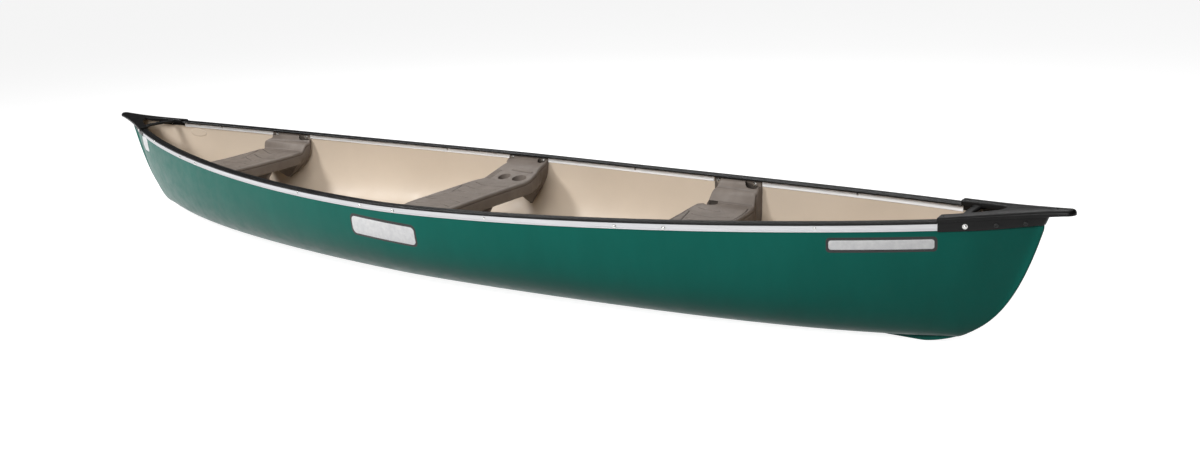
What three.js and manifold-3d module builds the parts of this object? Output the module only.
// Three-seat recreational canoe: a thermoformed polyethylene hull with capped gunwales, two moulded
// deck plates with carrying bars, three moulded bench seats and all their fasteners.
//
// Millimetres. +X points to the bow, +Y to port, +Z up. The origin is on the ground under the middle
// of the canoe: the tips of the deck plates are equally far from it, and the keel rests on z = 0.
import * as THREE from "three";
import { mergeVertices } from "three/addons/utils/BufferGeometryUtils.js";
import Module from "manifold-3d";

const wasm = await Module();
wasm.setup();

// ---------------------------------------------------------------- driving dimensions

const HALF_LENGTH = 2360; // origin to the tip of either deck plate
const HULL_HALF_LENGTH = 2274; // origin to the top of either stem
const HALF_BEAM = 466.8; // centreline to the outer edge of the gunwale cap, amidships
const DEPTH = 353.5; // top of the gunwale cap above the keel, amidships

// Plan and sheer of each half: breadth = HALF_BEAM (1 - a^fullness)^taper and
// height = DEPTH + rise a^sweep, where a is the distance from amidships over HULL_HALF_LENGTH.
const BOW = { fullness: 1.4793, taper: 0.7319, rise: 95.1, sweep: 1.6871 };
const STERN = { fullness: 1.8702, taper: 0.7971, rise: 106, sweep: 2.15 };

// Hull section: a superellipse that turns from boxy amidships to hollow at the stems.
const SECTION = { sideMid: 3.388, bottomMid: 3.228, ends: 0.6, change: 4.919 };
const ROCKER = { height: 80, power: 7.609 }; // rise of the body's bottom towards the ends
const STEM = { forefoot: 1925, terms: [[170, 1.5], [230, 4.6]] }; // [height, power] from the keel up
const KEEL_START = 1150; // the low keel fin begins here, at both ends
const KEEL_HALF_WIDTH = 5;
const BLADE = { backing: 30, lap: 60, overlap: 38, inset: 14, foot: 3, footRise: 26, lead: 16 };
const OVERHANG_FADE = 60; // power at which the cap's overhang dies out at the stem
const LEAST_INSIDE = { half: 1.5, depth: 6 }; // the space inside ends where it gets smaller
const FLAT_BOTTOM = 2; // the section's lowest millimetres are pressed flat
const WALL = 5;

// Gunwale, measured from the cap's outer top edge: inboard is positive, down is negative.
const CAP = { width: 34, side: 9.5, crown: 3, shoulder: 8 };
const HULL_INBOARD = 9; // outer face of the hull
const HULL_DOWN = 6.3; // top edge of the hull
const STRIP = { thick: 2.8, top: 6.7, bottom: 31.5 };
const GAP = 0.3;
const GUNWALE_END = { bow: 2006, stern: -1990 }; // where caps and strips meet the deck plates

// Seats. Places are along X; heights are above the ground.
const SEAT_WALL = 6;
const SEATS = [
  {
    name: "stern_seat",
    panBack: -1562,
    panFront: -1268,
    flangeBack: -1500,
    flangeFront: -1286,
    panZ: 299,
    panHalf: 228,
    legBottom: 157,
    legMid: -1418,
    bolts: [-1478, -1308],
  },
  {
    name: "middle_seat",
    panBack: -110,
    panFront: 126,
    flangeBack: -112,
    flangeFront: 106,
    panZ: 281,
    panHalf: 247,
    legBottom: 137,
    legMid: 14,
    bolts: [-90, 83],
  },
  {
    name: "bow_seat",
    panBack: 966,
    panFront: 1222,
    flangeBack: 986,
    flangeFront: 1210,
    panZ: 286,
    panHalf: 236,
    legBottom: 150,
    legMid: 1110,
    bolts: [1012, 1184],
  },
];
const SEAT_FACE = 60; // height of a seat's front and back faces
const SEAT_TOP_DOWN = 11.2; // top of the seat's flange below the top of the cap
// The end of a seat rises to a flange beside the wall: where the flange and the riser reach their full
// height, counted in from the wall, and the steepness of the riser.
const SEAT_END = { flangeIn: 8, riserIn: 22, steepness: 1.3, underLift: 24 };
// The end leg under the flange: where it starts and is fully down, in from the wall, and its tip.
const END_LEG = { startIn: 75, downIn: 16, tipHalf: 22 };
// The leg under the middle of the seat: how far each face of its foot is inside the pan's edge.
const PEDESTAL = { half: 26, flare: 14, aft: 46, fore: 30 };
// A seat's edges: chamfer at the back, rounded nose, and the set-back of the faces at the bottom.
const SEAT_EDGE = { back: 8, nose: 14, bevel: [5, 4], heel: 10, faceTop: 24, faceBottom: 12 };
const CUP = { radius: 29, depth: 42, wall: 3, y: 279, xs: [-2, 79], sides: 12 };

// Deck plates. u is the distance from amidships, whichever end the plate is on.
const DECK = {
  arm: 2006.5,
  nose: 2336,
  noseRadius: 24,
  lip: 5,
  taper: 1.265,
  shell: 5,
  roll: 15,
  mouth: 2168,
  armWidth: 45,
  mouthPower: 0.6,
};
const DECK_RISE = { bow: [12.7, 18.6], stern: [9, 12] }; // crown above the cap's top, at arm and stem
// The skirt and the flange end inside the plate's shell, `under` its crown.
const SKIRT = { outboard: 4.6, down: 35, end: 2262, underAft: 6, underFore: 3 };
const INNER_FLANGE = { thick: 3.5, down: 26, under: 5.5, end: 2140 };
const BAR = { centre: 2064, width: 28, thick: 14, down: 6, sides: 8, steps: 4, arch: 4, lap: 1 };
const DRAIN_HOLES = [2309, 2329];
const DRAIN = { radius: 4, below: 40, above: 20, sides: 10 };

// Fasteners
const SEAT_BOLT = { down: 24, radius: 2.8, head: 6.5, headThick: 3.2, nut: 5.6, nutThick: 4.5 };
const BOLT_CLEARANCE = 0.3;
const HEAD_LAP = 0.2; // a shank starts this far outside its head's seat
const NUT_TAIL = 1.5; // bolt end that shows past its nut
const BOLT_POCKET = 12.5; // radius of the recess round each nut
const POCKET_SIDES = 8;
const POCKET_REACH = 75; // the recess is cut from this far inboard
const SEAT_GAP = 0.7; // between a seat's flange and the hull
const SEAT_WALL_FACE = HULL_INBOARD + WALL + SEAT_GAP + SEAT_WALL; // inboard face of the flange
const FASTENER_SIDES = 6;
const RIVET = { down: 19, radius: 2.3, head: 4.6, headThick: 1.4 };
const RIVETS = { port: [-1805, -470, 590, 1618], starboard: [-1805, -470, 505, 1664] };
const DECK_FASTENER = { down: 21, bolt: 2080, plugs: [2160, 2232], radius: 2.6, head: 6, headThick: 3 };
const DECK_BOLT_END = 21; // inboard ends of the deck plate's bolts and plugs
const DECK_PLUG_END = 16;
const RAIL_HOLE_DEPTH = 32; // clearance holes are drilled this far inboard
const DECK_HOLE_DEPTH = 22;
const SEAT_HOLE_DEPTH = 40;

// ---------------------------------------------------------------- materials

const plastic = (color, roughness) => new THREE.MeshStandardMaterial({ color, roughness, metalness: 0 });
const metal = (color, roughness) => new THREE.MeshStandardMaterial({ color, roughness, metalness: 1 });
const GREEN = plastic(0x1b5d52, 0.42);
const BLACK_VINYL = plastic(0x1a1918, 0.38);
const BLACK_DECK = plastic(0x1c1b1b, 0.55);
const TAUPE = plastic(0x8a7f78, 0.5);
const ALUMINIUM = metal(0xc9cacc, 0.32);
const STEEL = metal(0xb8b9bb, 0.25);
const PLUG = plastic(0x101010, 0.5);

// ---------------------------------------------------------------- hull form

const endOf = (x) => (x < 0 ? STERN : BOW);
const reach = (x) => Math.min(1, Math.abs(x) / HULL_HALF_LENGTH);

/** Centreline to the cap's outer edge. */
function sheerBreadth(x) {
  const end = endOf(x);
  return HALF_BEAM * (1 - reach(x) ** end.fullness) ** end.taper;
}

/** Height of the cap's top. It keeps rising past the stem, for the deck plate. */
function sheerHeight(x) {
  const end = endOf(x);
  return DEPTH + end.rise * (Math.abs(x) / HULL_HALF_LENGTH) ** end.sweep;
}

function sheerSlope(x) {
  const step = 0.5;
  return (sheerBreadth(x + step) - sheerBreadth(x - step)) / (2 * step);
}

/** Outward direction across the gunwale in plan, at a station on the port side. */
function sheerNormal(x) {
  const slope = sheerSlope(x);
  const length = Math.hypot(1, slope);
  return { x: -slope / length, y: 1 / length };
}

/** Centreline to the hull's outer face at its top edge: the cap's overhang fades out at the stem. */
function hullBreadth(x) {
  const overhang = HULL_INBOARD * Math.hypot(1, sheerSlope(x));
  return Math.max(0, sheerBreadth(x) - overhang * (1 - reach(x) ** OVERHANG_FADE));
}

/** Height of the stem's leading edge. */
function stemHeight(x) {
  const along = (Math.abs(x) - STEM.forefoot) / (HULL_HALF_LENGTH - STEM.forefoot);
  const c = Math.min(1, Math.max(0, along));
  return STEM.terms.reduce((height, [rise, power]) => height + rise * c ** power, 0);
}

/** The numbers that shape the hull's outer section at a station. */
function sectionAt(x) {
  const a = reach(x);
  const fullness = 1 - a ** SECTION.change;
  const top = sheerHeight(x) - HULL_DOWN;
  return {
    half: hullBreadth(x),
    top,
    bottom: Math.min(top, Math.max(ROCKER.height * a ** ROCKER.power, stemHeight(x))),
    side: SECTION.ends + (SECTION.sideMid - SECTION.ends) * fullness,
    low: SECTION.ends + (SECTION.bottomMid - SECTION.ends) * fullness,
  };
}

/** Section of the space inside a wall of the given thickness, or null past its end. */
function insideSection(x, thickness) {
  const outer = sectionAt(x);
  const half = outer.half - thickness;
  if (half < LEAST_INSIDE.half) return null;
  // The floor of the narrow ends lies where the outside is one wall wide.
  const turn = Math.asin((thickness / outer.half) ** (outer.side / 2));
  const narrow = outer.top - (outer.top - outer.bottom) * Math.cos(turn) ** (2 / outer.low);
  const bottom = Math.max(0, narrow - FLAT_BOTTOM) + thickness;
  return bottom > outer.top - LEAST_INSIDE.depth ? null : { ...outer, half, bottom };
}

const SECTION_STEPS = 10;
const SECTION_SPREAD = 1.6; // gathers the points towards the keel and the sheer

/** Port half of a section, from keel to sheer, as [y, z] points. */
function halfSection(section, flat) {
  const points = [];
  for (let k = 0; k <= SECTION_STEPS; k++) {
    const low = (k / SECTION_STEPS) ** SECTION_SPREAD;
    const high = (1 - k / SECTION_STEPS) ** SECTION_SPREAD;
    const t = ((low / (low + high)) * Math.PI) / 2;
    const y = section.half * Math.sin(t) ** (2 / section.side);
    const z = section.top - (section.top - section.bottom) * Math.cos(t) ** (2 / section.low);
    points.push([k === 0 ? 0 : y, Math.max(0, z - flat)]);
  }
  points[SECTION_STEPS] = [section.half, section.top];
  return points;
}

/** Closed outline across the hull: up the port side from the keel, over the top, down to the keel. */
function fullOutline(section, flat, lid) {
  const port = halfSection(section, flat);
  const starboard = port.slice(1).reverse().map(([y, z]) => [-y, z]);
  const ring = [...port];
  if (lid > 0) ring.push([section.half, section.top + lid], [-section.half, section.top + lid]);
  return [...ring, ...starboard];
}

// ---------------------------------------------------------------- stations

const FLANGE_CLEARANCE = 1; // between a seat's flange and the inner strips
const BREAKS = [
  GUNWALE_END.stern,
  GUNWALE_END.bow,
  ...SEATS.flatMap((seat) => [seat.flangeBack - FLANGE_CLEARANCE, seat.flangeFront + FLANGE_CLEARANCE]),
];
const STATION_COUNT = 14; // on each side of amidships
const MERGE_DISTANCE = 22;
const LAST_STATION = 0.9997 * HULL_HALF_LENGTH;

/** Stations of the whole hull: closer together towards the stems, and one at each break. */
const STATIONS = (() => {
  const even = [];
  for (let k = -STATION_COUNT; k <= STATION_COUNT; k++) {
    even.push(LAST_STATION * Math.sin((k / STATION_COUNT) * (Math.PI / 2)));
  }
  const clear = even.filter((x) => BREAKS.every((b) => Math.abs(b - x) > MERGE_DISTANCE));
  return [...clear, ...BREAKS].sort((p, q) => p - q);
})();

const stationsBetween = (from, to) => STATIONS.filter((x) => x >= from && x <= to);

// ---------------------------------------------------------------- geometry helpers

/** A closed solid through rings of points, each ring an array of Vector3 of the same length. */
function loft(rings) {
  const count = rings[0].length;
  const positions = rings.flat().flatMap((p) => [p.x, p.y, p.z]);
  const index = [];
  for (let i = 0; i + 1 < rings.length; i++) {
    for (let j = 0; j < count; j++) {
      const a = i * count + j;
      const b = i * count + ((j + 1) % count);
      index.push(a, b, b + count, a, b + count, a + count);
    }
  }
  addCap(index, rings[0], 0, true);
  addCap(index, rings[rings.length - 1], (rings.length - 1) * count, false);
  const geometry = new THREE.BufferGeometry();
  geometry.setAttribute("position", new THREE.Float32BufferAttribute(positions, 3));
  geometry.setIndex(index);
  return outward(geometry);
}

/** Triangulates an end ring in its own plane and adds it to the index. */
function addCap(index, ring, offset, flip) {
  const normal = new THREE.Vector3();
  for (let i = 0; i < ring.length; i++) {
    const p = ring[i];
    const q = ring[(i + 1) % ring.length];
    normal.x += (p.y - q.y) * (p.z + q.z);
    normal.y += (p.z - q.z) * (p.x + q.x);
    normal.z += (p.x - q.x) * (p.y + q.y);
  }
  normal.normalize();
  const side = Math.abs(normal.z) > 0.9 ? new THREE.Vector3(1, 0, 0) : new THREE.Vector3(0, 0, 1);
  const u = new THREE.Vector3().crossVectors(side, normal).normalize();
  const v = new THREE.Vector3().crossVectors(normal, u);
  const flat = ring.map((p) => new THREE.Vector2(p.dot(u), p.dot(v)));
  for (const [a, b, c] of THREE.ShapeUtils.triangulateShape(flat, [])) {
    index.push(offset + a, offset + (flip ? c : b), offset + (flip ? b : c));
  }
}

/** Turns every face of a closed indexed geometry to point out. */
function outward(geometry) {
  const p = geometry.getAttribute("position");
  const index = geometry.index.array;
  const [a, b, c] = [new THREE.Vector3(), new THREE.Vector3(), new THREE.Vector3()];
  let volume = 0;
  for (let i = 0; i < index.length; i += 3) {
    a.fromBufferAttribute(p, index[i]);
    b.fromBufferAttribute(p, index[i + 1]);
    c.fromBufferAttribute(p, index[i + 2]);
    volume += a.dot(b.cross(c));
  }
  if (volume < 0) {
    for (let i = 0; i < index.length; i += 3) {
      [index[i + 1], index[i + 2]] = [index[i + 2], index[i + 1]];
    }
  }
  return geometry;
}

function toSolid(geometry) {
  const bare = geometry.clone();
  bare.deleteAttribute("normal");
  bare.deleteAttribute("uv");
  const merged = mergeVertices(bare, 1e-3);
  const vertProperties = new Float32Array(merged.attributes.position.array);
  const triVerts = new Uint32Array(merged.index.array);
  return new wasm.Manifold(new wasm.Mesh({ numProp: 3, vertProperties, triVerts }));
}

function toGeometry(solid) {
  const mesh = solid.getMesh();
  const geometry = new THREE.BufferGeometry();
  geometry.setAttribute("position", new THREE.Float32BufferAttribute(mesh.vertProperties, 3));
  geometry.setIndex(new THREE.BufferAttribute(mesh.triVerts, 1));
  geometry.computeVertexNormals();
  return geometry;
}

/** A round or many-sided bar from one point to another. */
function rod(from, to, radius, sides) {
  const along = new THREE.Vector3().subVectors(to, from);
  const geometry = new THREE.CylinderGeometry(radius, radius, along.length(), sides);
  geometry.translate(0, along.length() / 2, 0);
  const turn = new THREE.Quaternion().setFromUnitVectors(new THREE.Vector3(0, 1, 0), along.normalize());
  geometry.applyQuaternion(turn);
  geometry.translate(from.x, from.y, from.z);
  return geometry;
}

/** The part with the given tools cut out of it. */
const cut = (solid, tools) => tools.reduce((rest, tool) => rest.subtract(toSolid(tool)), solid);

// ---------------------------------------------------------------- gunwale frame

/** A point of the gunwale's section at a station: inboard of the cap's outer edge, below its top. */
function railPoint(x, side, inboard, down) {
  const y = sheerBreadth(x) - inboard / sheerNormal(x).y;
  return new THREE.Vector3(x, side * y, sheerHeight(x) - down);
}

/** A point on a fastener's axis, which runs square to the gunwale from the station x. */
function fastenerPoint(x, side, inboard, down) {
  const n = sheerNormal(x);
  const y = sheerBreadth(x) - n.y * inboard;
  return new THREE.Vector3(x - n.x * inboard, side * y, sheerHeight(x) - down);
}

/** Inboard distance of the hull's inner face at a station and a depth below the cap's top. */
function innerFaceInboard(x, down) {
  const wall = halfSection(insideSection(x, WALL), 0);
  const z = sheerHeight(x) - down;
  const i = Math.max(1, wall.findIndex((point) => point[1] >= z));
  const [y0, z0] = wall[i - 1];
  const [y1, z1] = wall[i];
  const y = y0 + ((y1 - y0) * Math.min(z1, z) - (y1 - y0) * z0) / (z1 - z0);
  return (sheerBreadth(x) - y) * sheerNormal(x).y;
}

/** Sweeps a profile along the gunwale: its [inboard, down] points are the same, or vary with x. */
function gunwaleSweep(profileAt, side, from, to) {
  const ends = [from, ...stationsBetween(from + 1, to - 1), to];
  return loft(ends.map((x) => profileAt(x).map(([u, v]) => railPoint(x, side, u, v))));
}

const { width, side: capSide, crown, shoulder } = CAP;
const stripOuter = HULL_INBOARD - GAP - STRIP.thick;
const stripInner = HULL_INBOARD + WALL + GAP;
const capProfile = () => [
  [0, capSide],
  [0, crown],
  [shoulder, 0],
  [width - shoulder, 0],
  [width, crown],
  [width, capSide],
  [stripInner + STRIP.thick + GAP, capSide],
  [stripInner + STRIP.thick + GAP, HULL_DOWN - GAP],
  [stripOuter - GAP, HULL_DOWN - GAP],
  [stripOuter - GAP, capSide],
];

const outerStripProfile = () => [
  [stripOuter, STRIP.bottom],
  [stripOuter, STRIP.top],
  [stripOuter + STRIP.thick, STRIP.top],
  [stripOuter + STRIP.thick, STRIP.bottom],
];

/** Where the inner strip's top and bottom edges touch the hull, which leans inboard going down. */
function innerStripEdges(x) {
  const high = Math.max(stripInner, innerFaceInboard(x, STRIP.top) + GAP);
  const low = Math.max(high, innerFaceInboard(x, STRIP.bottom) + GAP);
  return [high, low];
}

function innerStripProfile(x) {
  const [high, low] = innerStripEdges(x);
  return [
    [low, STRIP.bottom],
    [high, STRIP.top],
    [high + STRIP.thick, STRIP.top],
    [low + STRIP.thick, STRIP.bottom],
  ];
}

// ---------------------------------------------------------------- fasteners

function seatBolt(x, side) {
  const { down, radius, head, headThick, nut, nutThick } = SEAT_BOLT;
  const at = (inboard) => fastenerPoint(x, side, inboard, down);
  const outside = stripOuter - GAP;
  const inside = SEAT_WALL_FACE + GAP;
  const end = at(inside + nutThick + NUT_TAIL);
  const shank = toSolid(rod(at(outside - HEAD_LAP), end, radius, FASTENER_SIDES));
  const cap = toSolid(domedHead(at(outside), at(outside - 1), head, headThick));
  return shank.add(cap).add(toSolid(rod(at(inside), at(inside + nutThick), nut, FASTENER_SIDES)));
}

/** A low domed head standing on a surface at `base` and pointing towards `out`. */
function domedHead(base, out, radius, height) {
  const profile = [
    new THREE.Vector2(0, 0),
    new THREE.Vector2(radius, 0),
    new THREE.Vector2(radius * 0.75, height * 0.8),
    new THREE.Vector2(0, height),
  ];
  const geometry = new THREE.LatheGeometry(profile, FASTENER_SIDES);
  const direction = new THREE.Vector3().subVectors(out, base).normalize();
  const turn = new THREE.Quaternion().setFromUnitVectors(new THREE.Vector3(0, 1, 0), direction);
  geometry.applyQuaternion(turn);
  geometry.translate(base.x, base.y, base.z);
  return geometry;
}

/** A blind rivet through both strips and the hull, with a head on each side. */
function rivet(x, side) {
  const { down, radius, head, headThick } = RIVET;
  const at = (inboard) => fastenerPoint(x, side, inboard, down);
  const outside = stripOuter - GAP;
  const [high, low] = innerStripEdges(x);
  const lean = (down + 2 * head - STRIP.top) / (STRIP.bottom - STRIP.top);
  const inside = mix(high, low, lean) + STRIP.thick + 3 * GAP;
  const shank = toSolid(rod(at(outside - HEAD_LAP), at(inside + HEAD_LAP), radius, FASTENER_SIDES));
  return shank
    .add(toSolid(domedHead(at(outside), at(outside - 1), head, headThick)))
    .add(toSolid(domedHead(at(inside), at(inside + 1), head, headThick)));
}

/** A fastener through the deck plate's skirt and the hull behind it. */
function deckFastener(x, side, inner) {
  const { down, radius, head, headThick } = DECK_FASTENER;
  const at = (inboard) => fastenerPoint(x, side, inboard, down);
  const hullFace = (sheerBreadth(x) - hullBreadth(x)) * sheerNormal(x).y;
  const outside = hullFace - SKIRT.outboard - 2 * GAP;
  const shank = toSolid(rod(at(outside - HEAD_LAP), at(inner), radius, FASTENER_SIDES));
  return shank.add(toSolid(domedHead(at(outside), at(outside - 1), head, headThick)));
}

/** Clearance holes for a set of fasteners, as cutting tools. */
function clearance(xs, side, down, radius, depth) {
  const wide = (radius + BOLT_CLEARANCE) / Math.cos(Math.PI / FASTENER_SIDES);
  return xs.map((x) => {
    const start = fastenerPoint(x, side, 0, down);
    return rod(start, fastenerPoint(x, side, depth, down), wide, FASTENER_SIDES);
  });
}

const SIDES = [
  { label: "port", sign: 1 },
  { label: "starboard", sign: -1 },
];
const ENDS = [
  { label: "bow", sign: 1 },
  { label: "stern", sign: -1 },
];
const SEAT_BOLT_XS = SEATS.flatMap((seat) => seat.bolts);

/** Every hole that goes through the hull and its strips on one side. */
function gunwaleHoles({ label, sign }) {
  const deckXs = ENDS.flatMap((end) =>
    [DECK_FASTENER.bolt, ...DECK_FASTENER.plugs].map((u) => u * end.sign),
  );
  return [
    ...clearance(SEAT_BOLT_XS, sign, SEAT_BOLT.down, SEAT_BOLT.radius, RAIL_HOLE_DEPTH),
    ...clearance(RIVETS[label], sign, RIVET.down, RIVET.radius, RAIL_HOLE_DEPTH),
    ...clearance(deckXs, sign, DECK_FASTENER.down, DECK_FASTENER.radius, DECK_HOLE_DEPTH),
  ];
}

// ---------------------------------------------------------------- hull

const ringAt = (x, outline) => outline.map(([y, z]) => new THREE.Vector3(x, y, z));

const CAVITY_LID = 60; // how far the cutting tool for the inside stands above the sheer

/** The space inside the hull, kept clear of the wall by `extra`, open far above the sheer. */
function cavity(extra) {
  const rings = [];
  for (const x of STATIONS) {
    const section = insideSection(x, WALL + extra);
    if (section) rings.push(ringAt(x, fullOutline(section, 0, CAVITY_LID)));
  }
  return toSolid(loft(rings));
}

const BLADE_STEPS = 12;

/** The keel fin and stem blade of one end: the thin ridge that the body fairs into. */
function keelBlade(sign) {
  const { backing, lap, overlap, inset, foot, footRise, lead } = BLADE;
  const run = HULL_HALF_LENGTH - STEM.forefoot;
  const along = (k) => Math.sin((k / BLADE_STEPS) * (Math.PI / 2));
  const outline = [[KEEL_START, 0], [STEM.forefoot, 0]];
  for (let k = 1; k <= BLADE_STEPS; k++) {
    const x = STEM.forefoot + run * along(k);
    outline.push([x, stemHeight(x * sign)]);
  }
  const top = sheerHeight(HULL_HALF_LENGTH * sign) - HULL_DOWN;
  outline.push([HULL_HALF_LENGTH - inset, top]);
  for (let k = BLADE_STEPS - 1; k >= 0; k--) {
    const x = STEM.forefoot - lap + (run + overlap) * along(k);
    const low = foot + footRise * (k / BLADE_STEPS);
    outline.push([x, Math.max(low, stemHeight((x + lead) * sign) + backing)]);
  }
  outline.push([KEEL_START + foot, foot]);
  const ring = (y) => outline.map(([x, z]) => new THREE.Vector3(x * sign, y, z));
  return loft([ring(-KEEL_HALF_WIDTH), ring(KEEL_HALF_WIDTH)]);
}

function hull() {
  const rings = STATIONS.map((x) => ringAt(x, fullOutline(sectionAt(x), FLAT_BOTTOM, 0)));
  const body = toSolid(loft(rings)).add(toSolid(keelBlade(1))).add(toSolid(keelBlade(-1)));
  return cut(body.subtract(cavity(0)), SIDES.flatMap(gunwaleHoles));
}

// ---------------------------------------------------------------- seats

/** Blends from 0 to 1 between two values of s. */
function blend(s, from, to) {
  const t = Math.min(1, Math.max(0, (s - from) / (to - from)));
  return t * t * (3 - 2 * t);
}
const mix = (a, b, t) => a + (b - a) * t;

/** Centreline to the hull's inner face at the top of a seat's flange. */
const seatWall = (seat) => hullBreadth((seat.flangeBack + seat.flangeFront) / 2) - WALL;

/** The seat's section at a distance y from the centreline, as numbers that shape its outline. */
function seatSection(seat, y) {
  const wall = seatWall(seat);
  const flange = blend(y, seat.panHalf, wall - SEAT_END.flangeIn);
  const rise = blend(y, seat.panHalf, wall - SEAT_END.riserIn) ** SEAT_END.steepness;
  const leg = blend(y, wall - END_LEG.startIn, wall - END_LEG.downIn);
  const pedestal = 1 - blend(y, PEDESTAL.half, PEDESTAL.half + PEDESTAL.flare);
  const under = seat.panZ - SEAT_FACE;
  const middle = (seat.flangeBack + seat.flangeFront) / 2;
  const sheerRise = sheerHeight(seat.flangeFront) - sheerHeight(seat.flangeBack);
  const reachDown = Math.max(pedestal, leg);
  const footBack = mix(seat.panBack + PEDESTAL.aft, seat.legMid - END_LEG.tipHalf, leg);
  const footFront = mix(seat.panFront - PEDESTAL.fore, seat.legMid + END_LEG.tipHalf, leg);
  return {
    back: mix(seat.panBack, seat.flangeBack, flange),
    front: mix(seat.panFront, seat.flangeFront, flange),
    top: mix(seat.panZ, sheerHeight(middle) - SEAT_TOP_DOWN, rise),
    middle,
    tilt: (rise * sheerRise) / (seat.flangeFront - seat.flangeBack),
    skew: flange * sheerSlope(middle),
    under: under + SEAT_END.underLift * flange,
    foot: pedestal > 0 ? mix(under, 0, pedestal) : mix(under, seat.legBottom, leg),
    footBack: mix(seat.panBack + SEAT_EDGE.faceBottom, footBack, reachDown),
    footFront: mix(seat.panFront - SEAT_EDGE.faceBottom, footFront, reachDown),
  };
}

/** Outline of a seat section, shrunk by `inset`; an inset one is open far below. */
function seatOutline(s, inset) {
  const drop = inset > 0 ? 2 * SEAT_WALL : 0;
  const under = s.under - (inset > 0 ? GAP : 0);
  const { back, nose, bevel, heel, faceTop } = SEAT_EDGE;
  return [
    [s.back + inset, s.top - back - inset],
    [s.back + inset, under],
    [s.footBack + inset, s.foot - drop],
    [s.footFront - inset, s.foot - drop],
    [s.front - heel - inset, under],
    [s.front - inset, s.under + faceTop],
    [s.front - inset, s.top - nose - inset],
    [s.front - bevel[0] - inset, s.top - bevel[1] - inset],
    [s.front - nose - inset, s.top - inset],
    [s.back + back + inset, s.top - inset],
  ].map(([x, z]) => [x, z > s.under ? z + s.tilt * (x - s.middle) : z]);
}

const SEAT_STEPS = 5;

/** Distances from the centreline where the seat's section is taken. */
function seatStations(seat, reachOut) {
  const end = seatWall(seat) + reachOut;
  const { half: leg, flare } = PEDESTAL;
  const half = [0, leg, leg + flare / 2, leg + flare, seat.panHalf];
  for (let k = 1; k <= SEAT_STEPS; k++) half.push(mix(seat.panHalf, end, k / SEAT_STEPS));
  return [...half.slice(1).reverse().map((y) => -y), ...half];
}

function seatLoft(seat, inset, reachOut) {
  const rings = seatStations(seat, reachOut).map((y) => {
    const section = seatSection(seat, Math.abs(y));
    const skew = Math.sign(y) * section.skew;
    return seatOutline(section, inset).map(
      ([x, z]) => new THREE.Vector3(x, y + skew * (x - section.middle), z),
    );
  });
  return toSolid(loft(rings));
}

/** The two cups let into the riser on one side of the middle seat. */
function cups(seat, sign) {
  const { radius, depth, wall, y, sides } = CUP;
  const rim = seat.panZ + SEAT_WALL;
  const upright = (x, low, high, r) => {
    return rod(new THREE.Vector3(x, sign * y, low), new THREE.Vector3(x, sign * y, high), r, sides);
  };
  return CUP.xs.map((x) => ({
    outer: upright(x, rim - depth - wall, rim - wall, radius + wall),
    inner: upright(x, rim - depth, rim + POCKET_REACH, radius),
  }));
}

const SEAT_OVERREACH = 30; // the seat's body is made this much too long, then cut by the hull's wall
const SEAT_SHORTFALL = 14; // its hollow ends this far inside the wall

function seatSolid(seat) {
  let body = seatLoft(seat, 0, SEAT_OVERREACH).subtract(seatLoft(seat, SEAT_WALL, -SEAT_SHORTFALL));
  for (const { sign } of SIDES) {
    if (seat.name === "middle_seat") {
      for (const cup of cups(seat, sign)) {
        body = body.add(toSolid(cup.outer)).subtract(toSolid(cup.inner));
      }
    }
    const { down, radius } = SEAT_BOLT;
    const pockets = seat.bolts.map((x) => {
      const bottom = fastenerPoint(x, sign, SEAT_WALL_FACE, down);
      return rod(bottom, fastenerPoint(x, sign, POCKET_REACH, down), BOLT_POCKET, POCKET_SIDES);
    });
    body = cut(body, [...clearance(seat.bolts, sign, down, radius, SEAT_HOLE_DEPTH), ...pockets]);
  }
  return largest(body.intersect(cavity(SEAT_GAP)));
}

/** The biggest of a solid's separate bodies, which drops slivers left by a cut. */
function largest(solid) {
  return solid.decompose().reduce((best, body) => (body.volume() > best.volume() ? body : best));
}

// ---------------------------------------------------------------- deck plates

/** Half-width of the deck plate at u, out to its rolled edge. */
function deckHalf(u, sign) {
  const arm = sheerBreadth(DECK.arm * sign) + DECK.lip;
  if (u > DECK.nose) return Math.sqrt(Math.max(0, DECK.noseRadius ** 2 - (u - DECK.nose) ** 2));
  const s = (DECK.nose - u) / (DECK.nose - DECK.arm);
  return DECK.noseRadius + (arm - DECK.noseRadius) * s ** DECK.taper;
}

/** Height of the deck plate's crown on the centreline. */
function deckCrown(u, sign) {
  const along = (u - DECK.arm) / (HULL_HALF_LENGTH - DECK.arm);
  const [atArm, atStem] = sign > 0 ? DECK_RISE.bow : DECK_RISE.stern;
  return sheerHeight(u * sign) + mix(atArm, atStem, Math.min(1, along));
}

// The plate's section: shares of the half-width, and of the roll's depth below the crown.
const DECK_OUTSIDE = [[1, 1], [1, 0.62], [0.93, 0.3], [0.72, 0.12], [0.36, 0.03], [0, 0]];
const DECK_INSIDE = { rollShare: 0.5, shoulder: [0.7, 0.12], thinnest: 0.7, narrowest: 0.3 };

/** Domed section with rolled-down edges: outside from port to starboard, then back inside. */
function deckOutline(half, crownZ, tipShrink) {
  const roll = DECK.roll * tipShrink;
  const { rollShare, shoulder: high, thinnest, narrowest } = DECK_INSIDE;
  const shell = Math.min(DECK.shell, roll * thinnest);
  const within = half - Math.min(DECK.shell, half * narrowest);
  const outer = DECK_OUTSIDE.map(([across, down]) => [half * across, crownZ - roll * down]);
  const inner = [
    [within, crownZ - roll],
    [within, crownZ - (roll + shell) * rollShare],
    [within * high[0], crownZ - roll * high[1] - shell],
    [0, crownZ - shell],
  ];
  const mirror = (list) => list.slice(0, -1).reverse().map(([y, z]) => [-y, z]);
  return [...outer, ...mirror(outer), ...[...inner, ...mirror(inner)].reverse()];
}

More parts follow.
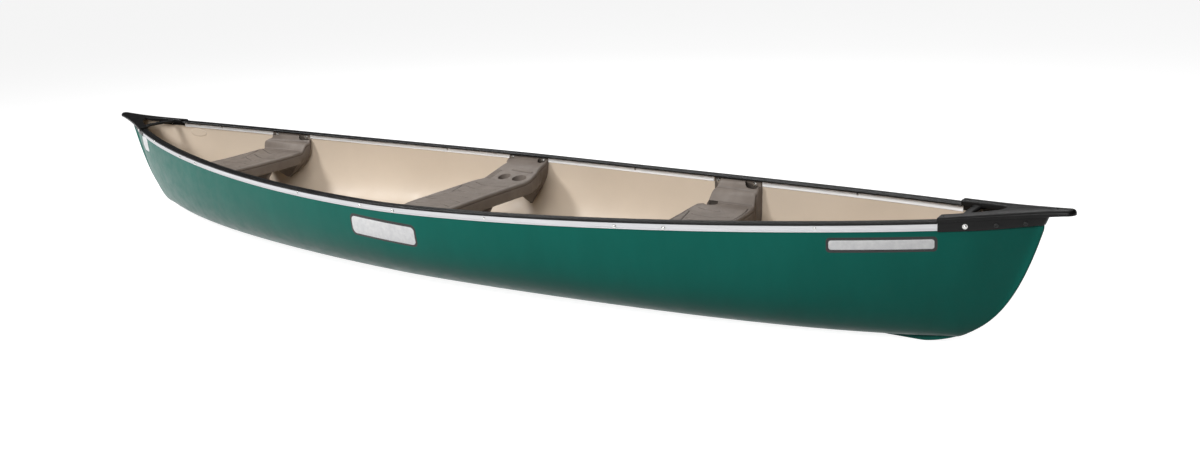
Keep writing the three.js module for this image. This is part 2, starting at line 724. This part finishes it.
const DECK_STEPS = 8; // along the plate, from the arms to the nose
const NOSE_STEPS = 5; // round the nose
const NOSE_GAP = 0.15; // keeps the last station short of the tip, as a share of a step
const NOSE_END = { half: 1.5, shrink: 0.35, drop: 6 }; // the plate's section at its very tip

function deckTop(sign) {
  const us = [];
  for (let k = 0; k <= DECK_STEPS; k++) us.push(mix(DECK.arm, DECK.nose, k / DECK_STEPS));
  for (let k = 1; k <= NOSE_STEPS; k++) {
    const angle = (k / (NOSE_STEPS + NOSE_GAP)) * (Math.PI / 2);
    us.push(DECK.nose + DECK.noseRadius * Math.sin(angle));
  }
  us.push(HALF_LENGTH);
  const rings = us.map((u) => {
    const half = Math.max(NOSE_END.half, deckHalf(u, sign));
    const share = u > DECK.nose ? half / DECK.noseRadius : 1;
    const crownZ = deckCrown(u, sign) - NOSE_END.drop * (1 - share);
    return ringAt(u * sign, deckOutline(half, crownZ, Math.max(NOSE_END.shrink, share)));
  });
  return toSolid(loft(rings));
}

/** Places along one end, at the hull's own stations, from the deck plate's arm to a limit. */
function deckStations(sign, end) {
  const ahead = STATIONS.map((x) => x * sign);
  const inside = ahead.filter((u) => u > DECK.arm + DECK.lip && u < end - DECK.shell);
  return [DECK.arm, ...inside.sort((p, q) => p - q), end];
}

/** A flat band swept round the stem in plan, between two offsets outside the hull. */
function skirtBand(sign) {
  const us = deckStations(sign, SKIRT.end);
  const offset = (u, side, out) => {
    const x = u * sign;
    return new THREE.Vector3(x, side * (hullBreadth(x) + out / sheerNormal(x).y), 0);
  };
  const path = (out) => {
    const port = us.map((u) => offset(u, 1, out));
    const starboard = us.map((u) => offset(u, -1, out)).reverse();
    const front = (HULL_HALF_LENGTH + out) * sign;
    const blunt = KEEL_HALF_WIDTH + out;
    const nose = [blunt, -blunt].map((y) => new THREE.Vector3(front, y, 0));
    return [...port, ...nose, ...starboard];
  };
  const ring = [...path(SKIRT.outboard), ...path(2 * GAP).reverse()];
  const low = ring.map((p) => new THREE.Vector3(p.x, p.y, sheerHeight(p.x) - SKIRT.down));
  const high = ring.map((p) => {
    const u = Math.abs(p.x);
    const under = mix(SKIRT.underAft, SKIRT.underFore, (u - DECK.arm) / (SKIRT.end - DECK.arm));
    return new THREE.Vector3(p.x, p.y, deckCrown(u, sign) - under);
  });
  return toSolid(loft([low, high]));
}

/** The flange inside one arm, between the hull and the mouth of the plate. */
function innerFlange(sign, side) {
  const { thick, down, end, under } = INNER_FLANGE;
  const rings = deckStations(sign, end).map((u) => {
    const x = u * sign;
    const inboard = innerFaceInboard(x, down) + 2 * GAP;
    const up = deckCrown(u, sign) - under - sheerHeight(x);
    return [
      railPoint(x, side, inboard, down),
      railPoint(x, side, inboard, -up),
      railPoint(x, side, inboard + thick, -up),
      railPoint(x, side, inboard + thick, down),
    ];
  });
  return toSolid(loft(rings));
}

const MOUTH = { steps: 9, startBack: 10, low: 300, high: 600 };

/** The pointed opening between the arms, as a tall cutting tool. */
function mouthTool(sign) {
  const points = [];
  const half = sheerBreadth(DECK.arm * sign) + DECK.lip - DECK.armWidth;
  for (let k = 0; k <= MOUTH.steps; k++) {
    const along = 1 - (k / MOUTH.steps - 1) ** 2;
    const u = mix(DECK.arm - MOUTH.startBack, DECK.mouth, along);
    const share = Math.max(0, (DECK.mouth - u) / (DECK.mouth - DECK.arm));
    points.push([u, half * share ** DECK.mouthPower]);
  }
  const outline = [...points, ...points.slice(0, -1).reverse().map(([u, y]) => [u, -y])];
  const ring = (z) => outline.map(([u, y]) => new THREE.Vector3(u * sign, y, z));
  return loft([ring(MOUTH.low), ring(MOUTH.high)]);
}

/** The carrying bar between the arms: a flattened round bar, arched a little. */
function carryBar(sign) {
  const end = (BAR.centre + BAR.width / 2) * sign;
  const inboard = innerFaceInboard(end, INNER_FLANGE.down) + 3 * GAP + BAR.lap;
  const reachOut = railPoint(end, 1, inboard, 0).y;
  const rings = [];
  for (let k = 0; k <= BAR.steps; k++) {
    const y = mix(-reachOut, reachOut, k / BAR.steps);
    const arch = BAR.arch * (1 - (y / reachOut) ** 2);
    const z = sheerHeight(BAR.centre * sign) - BAR.down + arch;
    const ring = [];
    for (let j = 0; j < BAR.sides; j++) {
      const angle = (j / BAR.sides) * 2 * Math.PI;
      const x = (BAR.centre + (BAR.width / 2) * Math.cos(angle)) * sign;
      ring.push(new THREE.Vector3(x, y, z + (BAR.thick / 2) * Math.sin(angle)));
    }
    rings.push(ring);
  }
  return toSolid(loft(rings));
}

function drainHole(u, sign) {
  const z = deckCrown(u, sign);
  const x = u * sign;
  const { radius, below, above, sides } = DRAIN;
  return rod(new THREE.Vector3(x, 0, z - below), new THREE.Vector3(x, 0, z + above), radius, sides);
}

function deckPlate(sign) {
  const holes = DRAIN_HOLES.map((u) => drainHole(u, sign));
  for (const side of [1, -1]) {
    const xs = [DECK_FASTENER.bolt, ...DECK_FASTENER.plugs].map((u) => u * sign);
    holes.push(...clearance(xs, side, DECK_FASTENER.down, DECK_FASTENER.radius, DECK_HOLE_DEPTH));
  }
  const plate = cut(deckTop(sign), [mouthTool(sign)])
    .add(skirtBand(sign))
    .add(innerFlange(sign, 1))
    .add(innerFlange(sign, -1))
    .add(carryBar(sign));
  return largest(cut(plate, holes));
}

// ---------------------------------------------------------------- assembly

const canoe = new THREE.Group();
canoe.name = "canoe";

function addPart(parent, name, solid, material) {
  const mesh = new THREE.Mesh(toGeometry(solid), material);
  mesh.name = name;
  parent.add(mesh);
}

function addGroup(name) {
  const group = new THREE.Group();
  group.name = name;
  canoe.add(group);
  return group;
}

/** The stretches of inner strip between the deck plates and the seats' flanges. */
function innerStripStretches() {
  const stops = [GUNWALE_END.stern, ...BREAKS.slice(2), GUNWALE_END.bow];
  const labels = ["stern", "aft", "fore", "bow"];
  return labels.map((label, i) => ({ label, from: stops[2 * i], to: stops[2 * i + 1] }));
}

addPart(canoe, "hull", hull(), GREEN);

for (const side of SIDES) {
  const rail = addGroup(`${side.label}_gunwale`);
  const { bow, stern } = GUNWALE_END;
  const holes = gunwaleHoles(side);
  const outerStrip = toSolid(gunwaleSweep(outerStripProfile, side.sign, stern, bow));
  const cap = toSolid(gunwaleSweep(capProfile, side.sign, stern, bow));
  addPart(rail, `gunwale_cap_${side.label}`, cap, BLACK_VINYL);
  addPart(rail, `outer_strip_${side.label}`, cut(outerStrip, holes), ALUMINIUM);
  for (const { label, from, to } of innerStripStretches()) {
    const strip = toSolid(gunwaleSweep(innerStripProfile, side.sign, from, to));
    addPart(rail, `inner_strip_${label}_${side.label}`, cut(strip, holes), ALUMINIUM);
  }
  RIVETS[side.label].forEach((x, i) => {
    addPart(rail, `strip_rivet_${side.label}_${i + 1}`, rivet(x, side.sign), STEEL);
  });
}

for (const seat of SEATS) {
  const group = addGroup(`${seat.name}_set`);
  addPart(group, seat.name, seatSolid(seat), TAUPE);
  for (const side of SIDES) {
    seat.bolts.forEach((x, i) => {
      const place = i === 0 ? "aft" : "fore";
      addPart(group, `${seat.name}_bolt_${side.label}_${place}`, seatBolt(x, side.sign), STEEL);
    });
  }
}

for (const end of ENDS) {
  const group = addGroup(`${end.label}_deck`);
  addPart(group, `${end.label}_deck_plate`, deckPlate(end.sign), BLACK_DECK);
  for (const side of SIDES) {
    const bolt = deckFastener(DECK_FASTENER.bolt * end.sign, side.sign, DECK_BOLT_END);
    addPart(group, `${end.label}_deck_bolt_${side.label}`, bolt, STEEL);
    DECK_FASTENER.plugs.forEach((u, i) => {
      const plug = deckFastener(u * end.sign, side.sign, DECK_PLUG_END);
      addPart(group, `${end.label}_deck_plug_${side.label}_${i + 1}`, plug, PLUG);
    });
  }
}

export default canoe;
